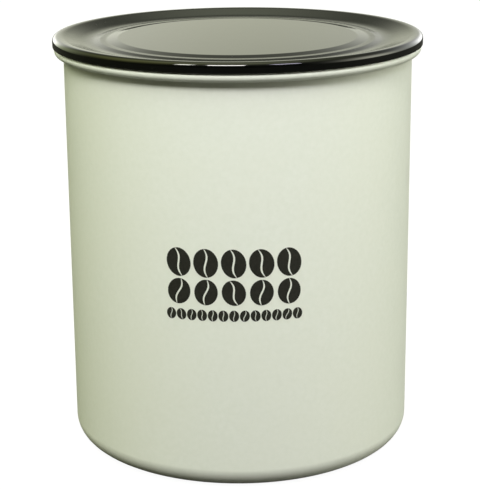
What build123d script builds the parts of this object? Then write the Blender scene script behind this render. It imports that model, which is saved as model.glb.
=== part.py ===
from build123d import *
from math import cos, pi, radians, sin
import os

# Coffee canister, millimetres. +Z up, origin at the centre of the base, front face towards -Y.
# A drawn and powder-coated steel can with a rolled rim, a black moulded outer lid, and inside it
# a plunger lid that slides down onto the coffee. Raising the plunger's handle opens its air valve.

# ---- driving dimensions -------------------------------------------------------------------------
total_height = 203.0
lid_radius = 89.5
can_radius = 84.4
sheet = 0.8
base_corner_radius = 9.7
slide_gap = 0.3         # kept between parts that slide past each other
pressed_fit = 0.02      # radial room of a pin or screw held in its hole
running_fit = 0.05      # radial room of a pin that turns or slides in its hole

# Rolled rim of the can
curl_radius = 2.6
curl_top = 199.0
curl_sweep = 305

# Stamped base
dish_rise = 1.5
dish_radius = 58.0
foot_ring_radius = 62.0
stamp_radius = 2.0

# Outer lid
lid_edge_depth = 5.0
lid_wall = 2.0
plateau_drop = 1.85
plateau_radius = 58.0
ledge_drop = 2.45
ledge_inner_radius = 63.4
ledge_outer_radius = 66.5
trough_drop = 3.0
trough_inner_radius = 70.0
trough_outer_radius = 74.0
rim_inner_radius = 85.5
lid_skirt_inner_radius = 88.8
spigot_depth = 12.5
spigot_radius = 81.6
groove_depth = 1.0
seal_top_drop = 6.5
plateau_fillet = 6.0
ledge_inner_fillet = 6.0
ledge_outer_fillet = 3.0
trough_inner_fillet = 10.0
trough_outer_fillet = 20.0
rim_inner_fillet = 10.0
lid_edge_fillet = 2.3
skirt_fillet = 0.3
seal_height = 4.0
seal_body = 1.4
seal_lip_spacing = 1.8
seal_lip_root = 1.3     # height of a lip where it leaves the band
seal_lip_rise = 0.8     # how far its tip stands above the foot of its root
seal_lip_tip = 0.4

# Plunger lid; every height is counted from the top of its deck
deck_z = 128.0
deck_thickness = 2.5
plate_wall_outer = 78.5
plate_wall_inner = 76.0
plate_wall_top = 14.0
plate_wall_bottom = -6.0
guide_flange_radius = 81.0
shoulder_radius = 81.5
shoulder_bottom = 4.0
flange_thickness = 2.0
plate_rim_fillet = 0.8
dish_corner_fillet = 2.0
selector_room = 0.01    # room either side of a height when edges are chosen by it
rib_count = 8
rib_thickness = 1.6
rib_depth = 3.0
rib_inner_radius = 12.5

# Wiper gasket and the ring that clamps it
gasket_band = 1.5
lip_thickness = 0.9
lip_reach = 3.2
lip_inset = 4.6         # height of a lip's root from the near end of the band
lip_root_depth = 0.5    # how far a lip starts inside the band
lip_tip_slant = 0.2
clamp_thickness = 3.0
clamp_inner_radius = 66.0
clamp_screw_count = 6
clamp_screw_circle = 71.0
clamp_boss_radius = 3.2
clamp_screw_start = 15
clamp_chamfer = 0.8

# Small screws
screw_radius = 1.1
screw_head_radius = 2.4
screw_head_height = 1.5
screw_length = 7.5
screw_slot = 0.6
screw_end_room = 0.3

# Handle and its pivot
pivot_height = 14.0
pin_radius = 2.0
pin_head_radius = 3.6
pin_head_thickness = 1.5
pin_head_fillet = 0.7
ear_outer_x = 30.0
ear_thickness = 2.0
ear_width = 13.0
foot_length = 13.0
foot_thickness = 1.5
bracket_screw_x = 21.0
bracket_screw_y = 3.8
bracket_screw_length = 3.4
bush_wall = 1.2
bush_flange_radius = 5.0
bush_flange_thickness = 1.2
eye_radius = 5.0
eye_thickness = 5.0
eye_overlap = 1.0       # how far the wire runs into the eye's disc
wire_radius = 2.5
bail_reach = 46.0
bail_corner_radius = 12.0
grip_radius = 5.0
grip_length = 42.0
grip_waist = 4.3
grip_fillet = 1.2

# Air valve
valve_travel = 2.0
cam_clearance = 0.45
cam_half_width = 4.0
cam_overrun = 20
cam_steps = 8
stem_radius = 2.0
stem_head_radius = 5.0
stem_head_top = 8.0
stem_head_thickness = 2.0
stem_chamfer = 0.4
guide_boss_radius = 3.0
guide_boss_height = 1.5
vent_count = 6
vent_radius = 1.1
vent_circle = 6.0
seat_inner_radius = 7.2
seat_outer_radius = 8.2
seat_depth = 1.5
disc_radius = 9.0
disc_thickness = 2.0
disc_chamfer = 0.6
seat_gap = 0.1
washer_radius = 4.5
washer_thickness = 0.8
clip_radius = 3.6
clip_thickness = 0.6
clip_groove_depth = 0.4
clip_mouth_ratio = 1.7  # width of a snap clip's mouth, in inner radii of the clip
stem_tip = 1.0
spring_wire = 0.35
spring_radius = 3.65
spring_turns = 4.5
spring_end_room = 0.05

# Cage and screen under the valve
cage_inner_radius = 9.9
cage_wall = 1.6
cage_bottom = -13.6
cage_lip = 1.6
cage_lip_thickness = 1.2
cage_chamfer = 0.8
socket_wall = 1.8
socket_depth = 3.5
screen_thickness = 0.4
screen_pitch = 2.0
screen_hole_radius = 0.65
screen_rows = 7

# ---- worked-out dimensions ----------------------------------------------------------------------
bore_radius = can_radius - sheet
wall_line = can_radius - sheet / 2
curl_line_radius = curl_radius - sheet / 2
curl_centre_r = wall_line + curl_line_radius
curl_centre_z = curl_top - curl_radius
seal_radius = bore_radius - slide_gap
lid_underside = curl_top + seat_gap
pivot_z = deck_z + pivot_height
deck_bottom = deck_z - deck_thickness
clamp_top = deck_z + plate_wall_bottom
clamp_bottom = clamp_top - clamp_thickness
bush_radius = pin_radius + running_fit + bush_wall
eye_inner_x = ear_outer_x + bush_flange_thickness + slide_gap
leg_x = eye_inner_x + eye_thickness / 2
pin_half_length = eye_inner_x + eye_thickness + slide_gap + clip_thickness + stem_tip
cam_base_radius = pivot_height - stem_head_top - cam_clearance
cam_rise = valve_travel / (pi / 2)
disc_top = deck_bottom - seat_depth - seat_gap
disc_bottom = disc_top - disc_thickness
washer_bottom = disc_bottom - washer_thickness
clip_bottom = washer_bottom - clip_thickness
stem_bottom = clip_bottom - stem_tip
stem_head_bottom = deck_z + stem_head_top - stem_head_thickness
cage_outer_radius = cage_inner_radius + cage_wall

os.makedirs("parts", exist_ok=True)


def finish(part, label):
    part.label = label
    export_step(part, f"parts/{label}.step")


# ---- canister body: one drawn shell, its rim rolled outwards into a bead ------------------------
with BuildPart() as canister_body:
    with BuildSketch(Plane.XZ):
        with BuildLine():
            FilletPolyline(
                (0, dish_rise + sheet / 2),
                (dish_radius, dish_rise + sheet / 2),
                (foot_ring_radius, sheet / 2),
                (wall_line, sheet / 2),
                (wall_line, curl_centre_z),
                radius=[stamp_radius, stamp_radius, base_corner_radius - sheet / 2],
            )
            CenterArc((curl_centre_r, curl_centre_z), curl_line_radius, 180, -curl_sweep)
        trace(line_width=sheet)
    revolve(axis=Axis.Z)
finish(canister_body.part, "canister_body")

# ---- outer lid: plateau, ledge, trough and raised rim on top; skirt and spigot below ------------
with BuildPart() as outer_lid:
    with BuildSketch(Plane.XZ):
        with BuildLine():
            top = FilletPolyline(
                (0, total_height - plateau_drop),
                (plateau_radius, total_height - plateau_drop),
                (ledge_inner_radius, total_height - ledge_drop),
                (ledge_outer_radius, total_height - ledge_drop),
                (trough_inner_radius, total_height - trough_drop),
                (trough_outer_radius, total_height - trough_drop),
                (rim_inner_radius, total_height),
                (lid_radius, total_height),
                (lid_radius, total_height - lid_edge_depth),
                (lid_skirt_inner_radius, total_height - lid_edge_depth),
                radius=[
                    plateau_fillet,
                    ledge_inner_fillet,
                    ledge_outer_fillet,
                    trough_inner_fillet,
                    trough_outer_fillet,
                    rim_inner_fillet,
                    lid_edge_fillet,
                    skirt_fillet,
                ],
            )
            Polyline(
                top @ 1,
                (lid_skirt_inner_radius, lid_underside),
                (spigot_radius, lid_underside),
                (spigot_radius, total_height - seal_top_drop),
                (spigot_radius - groove_depth, total_height - seal_top_drop),
                (spigot_radius - groove_depth, total_height - seal_top_drop - seal_height),
                (spigot_radius, total_height - seal_top_drop - seal_height),
                (spigot_radius, total_height - spigot_depth),
                (spigot_radius - lid_wall, total_height - spigot_depth),
                (spigot_radius - lid_wall, total_height - trough_drop - lid_wall),
                (trough_outer_radius, total_height - trough_drop - lid_wall),
                (ledge_inner_radius, total_height - plateau_drop - lid_wall),
                (0, total_height - plateau_drop - lid_wall),
                top @ 0,
            )
        make_face()
    revolve(axis=Axis.Z)
finish(outer_lid.part, "outer_lid")

# ---- outer lid seal: a band in the spigot's groove with two lips that rub the can's bore --------
with BuildPart() as outer_lid_seal:
    seal_inner = spigot_radius - groove_depth
    seal_bottom = total_height - seal_top_drop - seal_height
    with BuildSketch(Plane.XZ):
        with Locations((seal_inner, seal_bottom)):
            Rectangle(seal_body, seal_height, align=Align.MIN)
        for lip in (-1, 1):
            lip_z = seal_bottom + (seal_height + lip * seal_lip_spacing - seal_lip_root) / 2
            with BuildLine():
                Polyline(
                    (seal_inner + seal_body / 2, lip_z),
                    (seal_radius, lip_z + seal_lip_rise),
                    (seal_radius, lip_z + seal_lip_rise + seal_lip_tip),
                    (seal_inner + seal_body / 2, lip_z + seal_lip_root),
                    close=True,
                )
            make_face()
    revolve(axis=Axis.Z)
finish(outer_lid_seal.part, "outer_lid_seal")

# ---- plunger plate: a ribbed dish with a gasket shoulder, valve seat and screw bosses -----------
with BuildPart() as plunger_plate:
    with BuildSketch(Plane.XZ):
        with BuildLine():
            Polyline(
                (0, deck_z),
                (plate_wall_inner, deck_z),
                (plate_wall_inner, deck_z + plate_wall_top),
                (guide_flange_radius, deck_z + plate_wall_top),
                (guide_flange_radius, deck_z + plate_wall_top - flange_thickness),
                (plate_wall_outer, deck_z + plate_wall_top - flange_thickness),
                (plate_wall_outer, deck_z + shoulder_bottom + flange_thickness),
                (shoulder_radius, deck_z + shoulder_bottom + flange_thickness),
                (shoulder_radius, deck_z + shoulder_bottom),
                (plate_wall_outer, deck_z + shoulder_bottom),
                (plate_wall_outer, clamp_top),
                (plate_wall_inner, clamp_top),
                (plate_wall_inner, deck_bottom),
                (0, deck_bottom),
                close=True,
            )
        make_face()
    revolve(axis=Axis.Z)
    rim_edges = plunger_plate.edges().filter_by(GeomType.CIRCLE).group_by(Axis.Z)[-1]
    fillet(rim_edges, radius=plate_rim_fillet)
    dish_corner = plunger_plate.edges().filter_by(GeomType.CIRCLE).filter_by_position(
        Axis.Z, deck_z - selector_room, deck_z + selector_room
    )
    fillet(dish_corner, radius=dish_corner_fillet)
    # stiffening ribs and screw bosses under the deck
    with BuildSketch(Plane.XY.offset(deck_bottom)):
        with PolarLocations((rib_inner_radius + plate_wall_inner) / 2, rib_count):
            Rectangle(plate_wall_inner - rib_inner_radius, rib_thickness)
    extrude(amount=-rib_depth)
    with BuildSketch(Plane.XY.offset(deck_bottom)):
        with PolarLocations(clamp_screw_circle, clamp_screw_count, start_angle=clamp_screw_start):
            Circle(clamp_boss_radius)
    extrude(amount=clamp_top - deck_bottom)
    # socket for the valve cage and the raised seat for the valve disc
    with BuildSketch(Plane.XY.offset(deck_bottom)):
        Circle(cage_outer_radius + socket_wall)
        Circle(cage_outer_radius, mode=Mode.SUBTRACT)
    extrude(amount=-socket_depth)
    with BuildSketch(Plane.XY.offset(deck_bottom)):
        Circle(seat_outer_radius)
        Circle(seat_inner_radius, mode=Mode.SUBTRACT)
    extrude(amount=-seat_depth)
    # guide boss for the stem, inside the foot of the spring
    with BuildSketch(Plane.XY.offset(deck_z)):
        Circle(guide_boss_radius)
    extrude(amount=guide_boss_height)
    # holes: stem guide, vents, clamp screws from below, bracket screws from above
    with Locations(Plane.XY.offset(deck_z + guide_boss_height)):
        Hole(stem_radius + running_fit)
    with Locations(Plane.XY.offset(deck_z)):
        with PolarLocations(vent_circle, vent_count):
            Hole(vent_radius, depth=deck_thickness)
    with BuildSketch(Plane.XY.offset(clamp_top)):
        with PolarLocations(clamp_screw_circle, clamp_screw_count, start_angle=clamp_screw_start):
            Circle(screw_radius + pressed_fit)
    extrude(amount=screw_length - clamp_thickness, mode=Mode.SUBTRACT)
    with BuildSketch(Plane.XY.offset(deck_z)):
        with GridLocations(2 * bracket_screw_x, 2 * bracket_screw_y, 2, 2):
            Circle(screw_radius + pressed_fit)
    extrude(amount=-(bracket_screw_length - foot_thickness), mode=Mode.SUBTRACT)
finish(plunger_plate.part, "plunger_plate")

# ---- plunger gasket: a band with one lip wiping upwards and one wiping downwards ----------------
with BuildPart() as plunger_gasket:
    band_top = deck_z + shoulder_bottom
    band_outer = plate_wall_outer + gasket_band
    with BuildSketch(Plane.XZ):
        with Locations((plate_wall_outer, clamp_top)):
            Rectangle(gasket_band, band_top - clamp_top, align=Align.MIN)
        for root_z, direction in ((band_top - lip_inset, 1), (clamp_top + lip_inset, -1)):
            with BuildLine():
                Polyline(
                    (band_outer - lip_root_depth, root_z - direction * lip_thickness / 2),
                    (seal_radius, root_z + direction * lip_reach),
                    (seal_radius - lip_thickness, root_z + direction * (lip_reach + lip_tip_slant)),
                    (band_outer - lip_root_depth, root_z + direction * lip_thickness),
                    close=True,
                )
            make_face()
    revolve(axis=Axis.Z)
finish(plunger_gasket.part, "plunger_gasket")

# ---- gasket clamp ring --------------------------------------------------------------------------
with BuildPart() as gasket_clamp_ring:
    with BuildSketch(Plane.XY.offset(clamp_bottom)):
        Circle(shoulder_radius)
        Circle(clamp_inner_radius, mode=Mode.SUBTRACT)
        with PolarLocations(clamp_screw_circle, clamp_screw_count, start_angle=clamp_screw_start):
            Circle(screw_radius + pressed_fit, mode=Mode.SUBTRACT)
    extrude(amount=clamp_thickness)
    lower_edges = gasket_clamp_ring.edges().filter_by(GeomType.CIRCLE).group_by(Axis.Z)[0]
    chamfer(lower_edges.sort_by(SortBy.RADIUS)[-1], length=clamp_chamfer)
finish(gasket_clamp_ring.part, "gasket_clamp_ring")


def add_screws(places, under_head_z, direction, length):
    """Slotted pan-head screws whose shanks point along direction (+1 up, -1 down)."""
    head_top_z = under_head_z - direction * screw_head_height
    with BuildSketch(Plane.XY.offset(under_head_z)) as heads:
        with Locations(places):
            Circle(screw_head_radius)
    extrude(heads.sketch, amount=-direction * screw_head_height)
    with BuildSketch(Plane.XY.offset(under_head_z)) as shanks:
        with Locations(places):
            Circle(screw_radius)
    extrude(shanks.sketch, amount=direction * length)
    with BuildSketch(Plane.XY.offset(head_top_z)) as slots:
        with Locations(places):
            Rectangle(2 * screw_head_radius, screw_slot)
    extrude(slots.sketch, amount=direction * screw_head_height / 2, mode=Mode.SUBTRACT)


# ---- screws -------------------------------------------------------------------------------------
clamp_places = []
for screw in range(clamp_screw_count):
    screw_angle = clamp_screw_start + 360 / clamp_screw_count * screw
    clamp_places.append(Vector(clamp_screw_circle, 0).rotate(Axis.Z, screw_angle))
with BuildPart() as clamp_ring_screws:
    add_screws(clamp_places, clamp_bottom, 1, screw_length - screw_end_room)
finish(clamp_ring_screws.part, "clamp_ring_screws")

bracket_places = []
for side in (-1, 1):
    for row in (-1, 1):
        bracket_places.append(Vector(side * bracket_screw_x, row * bracket_screw_y))
with BuildPart() as bracket_screws:
    add_screws(bracket_places, deck_z + foot_thickness, -1, bracket_screw_length - screw_end_room)
finish(bracket_screws.part, "bracket_screws")

# ---- pivot brackets and bushes, one pair on each side of the valve ------------------------------
for side_name, side in (("left", -1), ("right", 1)):
    with BuildPart() as pivot_bracket:
        with BuildSketch(Plane.XY.offset(deck_z)):
            with Locations((side * (ear_outer_x - foot_length / 2), 0)):
                Rectangle(foot_length, ear_width)
            with Locations((side * bracket_screw_x, 0)):
                with GridLocations(0, 2 * bracket_screw_y, 1, 2):
                    Circle(screw_radius + pressed_fit, mode=Mode.SUBTRACT)
        extrude(amount=foot_thickness)
        with BuildSketch(Plane.YZ.offset(side * ear_outer_x)):
            with Locations((0, deck_z + pivot_height / 2)):
                Rectangle(ear_width, pivot_height)
            with Locations((0, pivot_z)):
                Circle(ear_width / 2)
                Circle(bush_radius, mode=Mode.SUBTRACT)
        extrude(amount=-side * ear_thickness)
    finish(pivot_bracket.part, f"pivot_bracket_{side_name}")

    with BuildPart() as pivot_bush:
        with BuildSketch(Plane.YZ.offset(side * (ear_outer_x - ear_thickness))):
            with Locations((0, pivot_z)):
                Circle(bush_radius)
        extrude(amount=side * ear_thickness)
        with BuildSketch(Plane.YZ.offset(side * ear_outer_x)):
            with Locations((0, pivot_z)):
                Circle(bush_flange_radius)
        extrude(amount=side * bush_flange_thickness)
        with BuildSketch(Plane.YZ.offset(side * (ear_outer_x - ear_thickness))):
            with Locations((0, pivot_z)):
                Circle(pin_radius + running_fit)
        extrude(amount=side * (ear_thickness + bush_flange_thickness), mode=Mode.SUBTRACT)
    finish(pivot_bush.part, f"pivot_bush_{side_name}")

# ---- handle bail: a bent round wire, its ends flattened into eyes that grip the pin -------------
with BuildPart() as handle_bail:
    with BuildLine(Plane.XY.offset(pivot_z)):
        bend = FilletPolyline(
            (leg_x, eye_overlap - eye_radius),
            (leg_x, -bail_reach),
            (-leg_x, -bail_reach),
            (-leg_x, eye_overlap - eye_radius),
            radius=bail_corner_radius,
        )
    with BuildSketch(Plane(origin=bend @ 0, z_dir=bend % 0)):
        Circle(wire_radius)
    sweep()
    for eye_side in (-1, 1):
        with BuildSketch(Plane.YZ.offset(eye_side * eye_inner_x)):
            with Locations((0, pivot_z)):
                Circle(eye_radius)
        extrude(amount=eye_side * eye_thickness)
    with BuildSketch(Plane.YZ.offset(-pin_half_length)):
        with Locations((0, pivot_z)):
            Circle(pin_radius + pressed_fit)
    extrude(amount=2 * pin_half_length, mode=Mode.SUBTRACT)
finish(handle_bail.part, "handle_bail")

# ---- handle grip: a moulded sleeve on the bail's cross bar --------------------------------------
with BuildPart() as handle_grip:
    with BuildSketch(Plane.XY.offset(pivot_z)):
        with BuildLine():
            Line((-grip_length / 2, -bail_reach), (-grip_length / 2, -bail_reach - grip_radius))
            ThreePointArc(
                (-grip_length / 2, -bail_reach - grip_radius),
                (0, -bail_reach - grip_waist),
                (grip_length / 2, -bail_reach - grip_radius),
            )
            Line((grip_length / 2, -bail_reach - grip_radius), (grip_length / 2, -bail_reach))
            Line((grip_length / 2, -bail_reach), (-grip_length / 2, -bail_reach))
        make_face()
    revolve(axis=Axis((0, -bail_reach, pivot_z), (1, 0, 0)))
    fillet(handle_grip.edges().filter_by(GeomType.CIRCLE), radius=grip_fillet)
    with BuildSketch(Plane.YZ.offset(-grip_length / 2)):
        with Locations((-bail_reach, pivot_z)):
            Circle(wire_radius + pressed_fit)
    extrude(amount=grip_length, mode=Mode.SUBTRACT)
finish(handle_grip.part, "handle_grip")

# ---- pivot pin with its head, groove and snap clip ----------------------------------------------
with BuildPart() as pivot_pin:
    with BuildSketch(Plane.YZ.offset(-pin_half_length)):
        with Locations((0, pivot_z)):
            Circle(pin_radius)
    extrude(amount=2 * pin_half_length - stem_tip - clip_thickness)
    with BuildSketch(Plane.YZ.offset(leg_x + eye_thickness / 2)):
        with Locations((0, pivot_z)):
            Circle(pin_head_radius)
    extrude(amount=pin_head_thickness)
    fillet(pivot_pin.edges().filter_by(GeomType.CIRCLE).sort_by(Axis.X)[-1], radius=pin_head_fillet)
    clip_x = -(eye_inner_x + eye_thickness + slide_gap)
    with BuildSketch(Plane.YZ.offset(clip_x)):
        with Locations((0, pivot_z)):
            Circle(pin_radius)
            Circle(pin_radius - clip_groove_depth, mode=Mode.SUBTRACT)
    extrude(amount=-clip_thickness, mode=Mode.SUBTRACT)
finish(pivot_pin.part, "pivot_pin")


def add_snap_clip(plane, centre, inner_radius):
    """An open ring that snaps into a groove; its mouth faces the sketch's own +Y."""
    with BuildSketch(plane) as ring:
        with Locations(centre):
            Circle(clip_radius)
            Circle(inner_radius, mode=Mode.SUBTRACT)
            with Locations((0, clip_radius / 2)):
                Rectangle(clip_mouth_ratio * inner_radius, clip_radius, mode=Mode.SUBTRACT)
    extrude(ring.sketch, amount=clip_thickness)


with BuildPart() as pin_clip:
    add_snap_clip(Plane.YZ.offset(clip_x - clip_thickness), (0, pivot_z), pin_radius - clip_groove_depth)
finish(pin_clip.part, "pin_clip")

# ---- valve cam: pressed on the pin, its radius grows evenly so the stem drops evenly ------------
with BuildPart() as valve_cam:
    spiral = []
    for step in range(cam_steps + 1):
        angle = radians(step * (90 + cam_overrun) / cam_steps)
        reach = cam_base_radius + cam_rise * angle
        spiral.append((reach * sin(angle), pivot_z - reach * cos(angle)))
    with BuildSketch(Plane.YZ.offset(-cam_half_width)):
        with BuildLine():
            rise = Spline(*spiral)
            Line(rise @ 1, (0, pivot_z + cam_base_radius))
            CenterArc((0, pivot_z), cam_base_radius, 90, 180)
        make_face()
        with Locations((0, pivot_z)):
            Circle(pin_radius + pressed_fit, mode=Mode.SUBTRACT)
    extrude(amount=2 * cam_half_width)
finish(valve_cam.part, "valve_cam")

# ---- valve stem: head under the cam, groove for the clip at its lower end -----------------------
with BuildPart() as valve_stem:
    with BuildSketch(Plane.XY.offset(stem_bottom)):
        Circle(stem_radius)
    extrude(amount=stem_head_bottom - stem_bottom)
    with BuildSketch(Plane.XY.offset(stem_head_bottom)):
        Circle(stem_head_radius)
    extrude(amount=stem_head_thickness)
    chamfer(valve_stem.edges().filter_by(GeomType.CIRCLE).sort_by(Axis.Z)[0], length=stem_chamfer)
    with BuildSketch(Plane.XY.offset(clip_bottom)):
        Circle(stem_radius)
        Circle(stem_radius - clip_groove_depth, mode=Mode.SUBTRACT)
    extrude(amount=clip_thickness, mode=Mode.SUBTRACT)
finish(valve_stem.part, "valve_stem")

# ---- valve disc, its washer and its clip --------------------------------------------------------
with BuildPart() as valve_disc:
    with BuildSketch(Plane.XY.offset(disc_bottom)):
        Circle(disc_radius)
        Circle(stem_radius + pressed_fit, mode=Mode.SUBTRACT)
    extrude(amount=disc_thickness)
    lower_rim = valve_disc.edges().filter_by(GeomType.CIRCLE).group_by(Axis.Z)[0].sort_by(SortBy.RADIUS)[-1]
    chamfer(lower_rim, length=disc_chamfer)
finish(valve_disc.part, "valve_disc")

with BuildPart() as valve_washer:
    with BuildSketch(Plane.XY.offset(washer_bottom)):
        Circle(washer_radius)
        Circle(stem_radius + pressed_fit, mode=Mode.SUBTRACT)
    extrude(amount=washer_thickness)
finish(valve_washer.part, "valve_washer")

with BuildPart() as valve_clip:
    add_snap_clip(Plane.XY.offset(clip_bottom), (0, 0), stem_radius - clip_groove_depth)
finish(valve_clip.part, "valve_clip")

# ---- valve spring: between the deck and the underside of the stem's head ------------------------
with BuildPart() as valve_spring:
    spring_bottom = deck_z + spring_wire + spring_end_room
    spring_height = stem_head_bottom - deck_z - 2 * (spring_wire + spring_end_room)
    with BuildLine(Plane.XY.offset(spring_bottom)):
        coil = Helix(pitch=spring_height / spring_turns, height=spring_height, radius=spring_radius)
    with BuildSketch(Plane(origin=coil @ 0, z_dir=coil % 0)):
        Circle(spring_wire)
    sweep(is_frenet=True)
finish(valve_spring.part, "valve_spring")

# ---- valve cage and the screen that keeps ground coffee out of the valve ------------------------
with BuildPart() as valve_cage:
    cage_floor = deck_z + cage_bottom
    with BuildSketch(Plane.XY.offset(cage_floor)):
        Circle(cage_outer_radius)
        Circle(cage_inner_radius - cage_lip, mode=Mode.SUBTRACT)
    extrude(amount=cage_lip_thickness)
    with BuildSketch(Plane.XY.offset(cage_floor + cage_lip_thickness)):
        Circle(cage_outer_radius)
        Circle(cage_inner_radius, mode=Mode.SUBTRACT)
    extrude(amount=deck_bottom - cage_floor - cage_lip_thickness)
    cage_rim = valve_cage.edges().filter_by(GeomType.CIRCLE).group_by(Axis.Z)[0].sort_by(SortBy.RADIUS)[-1]
    chamfer(cage_rim, length=cage_chamfer)
finish(valve_cage.part, "valve_cage")

with BuildPart() as vent_screen:
    screen_bottom = deck_z + cage_bottom + cage_lip_thickness
    with BuildSketch(Plane.XY.offset(screen_bottom)):
        Circle(cage_inner_radius - pressed_fit)
        with HexLocations(screen_pitch / 2, screen_rows, screen_rows):
            Circle(screen_hole_radius, mode=Mode.SUBTRACT)
    extrude(amount=screen_thickness)
finish(vent_screen.part, "vent_screen")
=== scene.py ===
from math import ceil, cos, hypot, pi, radians, sin, sqrt, tan

import bmesh
import bpy
from mathutils import Matrix, Vector


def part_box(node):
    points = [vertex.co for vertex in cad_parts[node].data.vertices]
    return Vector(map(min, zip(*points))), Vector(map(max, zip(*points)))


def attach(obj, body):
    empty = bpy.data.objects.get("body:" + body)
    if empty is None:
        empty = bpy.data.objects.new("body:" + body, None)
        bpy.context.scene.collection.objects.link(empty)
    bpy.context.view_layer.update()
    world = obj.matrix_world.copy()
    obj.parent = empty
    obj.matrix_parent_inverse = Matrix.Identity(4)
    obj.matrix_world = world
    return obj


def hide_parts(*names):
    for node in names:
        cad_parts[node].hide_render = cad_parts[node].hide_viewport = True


# The looks of a coffee canister: a powder-coated steel can with a black gloss outer lid, and
# inside it a plunger lid with a folding handle and an air valve.
# Sizes are in millimetres and turned into metres by MM. The can stands on its base at z = 0.

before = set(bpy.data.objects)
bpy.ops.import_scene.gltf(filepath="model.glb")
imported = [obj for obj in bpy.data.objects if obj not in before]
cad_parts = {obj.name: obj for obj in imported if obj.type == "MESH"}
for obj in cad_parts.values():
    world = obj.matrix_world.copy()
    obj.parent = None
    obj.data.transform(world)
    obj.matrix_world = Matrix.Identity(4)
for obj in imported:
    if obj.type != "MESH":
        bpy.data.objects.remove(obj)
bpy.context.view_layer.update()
MM = 0.001


def low(node):
    """Lowest corner of a CAD node, in millimetres."""
    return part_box(node)[0] / MM


def high(node):
    """Highest corner of a CAD node, in millimetres."""
    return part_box(node)[1] / MM


# ---- sizes, from the frame where it holds them --------------------------------------------------
CAN_TOP = high("canister_body").z
LID_TOP = high("outer_lid").z
LID_RADIUS = high("outer_lid").x
SHEET = 0.8
CURL_RADIUS = 2.6
CAN_RADIUS = high("canister_body").x - 2 * CURL_RADIUS + SHEET
BORE_RADIUS = CAN_RADIUS - SHEET
CURL_R = BORE_RADIUS + CURL_RADIUS
CURL_Z = CAN_TOP - CURL_RADIUS
DECK_Z = low("pivot_bracket_left").z
PIVOT_Z = (low("handle_bail").z + high("handle_bail").z) / 2
SEAL_RADIUS = high("plunger_gasket").x
STEM_HOLE = 2.02


# ---- small tools for nodes ----------------------------------------------------------------------
def add_node(tree, kind, inputs=None, **settings):
    """A node with its settings; inputs maps a socket's name or number to a value or a link."""
    made = tree.nodes.new(kind)
    for name, value in settings.items():
        setattr(made, name, value)
    for socket, value in (inputs or {}).items():
        if isinstance(value, bpy.types.NodeSocket):
            tree.links.new(value, made.inputs[socket])
        else:
            made.inputs[socket].default_value = value
    return made


def maths(tree, operation, first, second=0.0, third=0.0):
    """The result of one Math node."""
    return add_node(tree, "ShaderNodeMath", {0: first, 1: second, 2: third}, operation=operation).outputs[0]


def new_tree(name, kind, inputs, outputs):
    """A node group with named inputs (name, type, default) and outputs (name, type)."""
    tree = bpy.data.node_groups.new(name, kind)
    for socket_name, socket_type, default in inputs:
        kind_name = "NodeSocket" + socket_type
        socket = tree.interface.new_socket(socket_name, in_out="INPUT", socket_type=kind_name)
        if default is not None:
            socket.default_value = default
    for socket_name, socket_type in outputs:
        tree.interface.new_socket(socket_name, in_out="OUTPUT", socket_type="NodeSocket" + socket_type)
    start = tree.nodes.new("NodeGroupInput")
    end = tree.nodes.new("NodeGroupOutput")
    return tree, start.outputs, end.inputs


def close_tree(tree, geometry, material, result):
    """Makes instances real, gives them the material and links them to the tree's output."""
    real = add_node(tree, "GeometryNodeRealizeInstances", {"Geometry": geometry})
    painted = add_node(tree, "GeometryNodeSetMaterial", {"Geometry": real.outputs[0], "Material": material})
    tree.links.new(painted.outputs[0], result)


def distance_from_axis(tree, x, y):
    """Distance from the can's axis, from two coordinates."""
    squares = maths(tree, "ADD", maths(tree, "MULTIPLY", x, x), maths(tree, "MULTIPLY", y, y))
    return maths(tree, "SQRT", squares)


# ---- outlines -----------------------------------------------------------------------------------
def rounded(corners, closed=False, step=radians(10), support=0.25, longest=8.0):
    """Points through (x, y, fillet) corners. Straight runs get support points beside each fillet."""
    points = []
    count = len(corners)
    for index, (x, y, fillet) in enumerate(corners):
        here = Vector((x, y))
        is_end = not closed and index in (0, count - 1)
        if fillet == 0 or is_end:
            points.append([here])
            continue
        before = (Vector(corners[index - 1][:2]) - here).normalized()
        after = (Vector(corners[(index + 1) % count][:2]) - here).normalized()
        half = before.angle(after) / 2
        centre = here + (before + after).normalized() * (fillet / sin(half))
        start = here + before * (fillet / tan(half))
        end = here + after * (fillet / tan(half))
        sweep = (start - centre).angle_signed(end - centre)
        steps = max(2, ceil(abs(sweep) / step))
        arm = start - centre
        arc = []
        for turn in range(steps + 1):
            arc.append(centre + arm @ Matrix.Rotation(sweep * turn / steps, 2))
        points.append(arc)
    outline = []
    for index, arc in enumerate(points):
        outline.extend(arc)
        if index == count - 1 and not closed:
            break
        start = arc[-1]
        end = points[(index + 1) % count][0]
        length = (end - start).length
        if length > 4 * support:
            pieces = max(1, ceil(length / longest))
            outline.append(start.lerp(end, support / length))
            for piece in range(1, pieces):
                outline.append(start.lerp(end, piece / pieces))
            outline.append(start.lerp(end, 1 - support / length))
    return outline


def arc_points(centre, radius, start, sweep, step=radians(10)):
    """Points of an arc; angles are in degrees, anticlockwise."""
    steps = ceil(abs(radians(sweep)) / step)
    points = []
    for turn in range(steps + 1):
        angle = radians(start + sweep * turn / steps)
        points.append(Vector((centre[0] + radius * cos(angle), centre[1] + radius * sin(angle))))
    return points


# ---- meshes and pieces --------------------------------------------------------------------------
def new_object(name, mesh):
    made = bpy.data.objects.new(name, mesh)
    bpy.context.scene.collection.objects.link(made)
    return made


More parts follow.
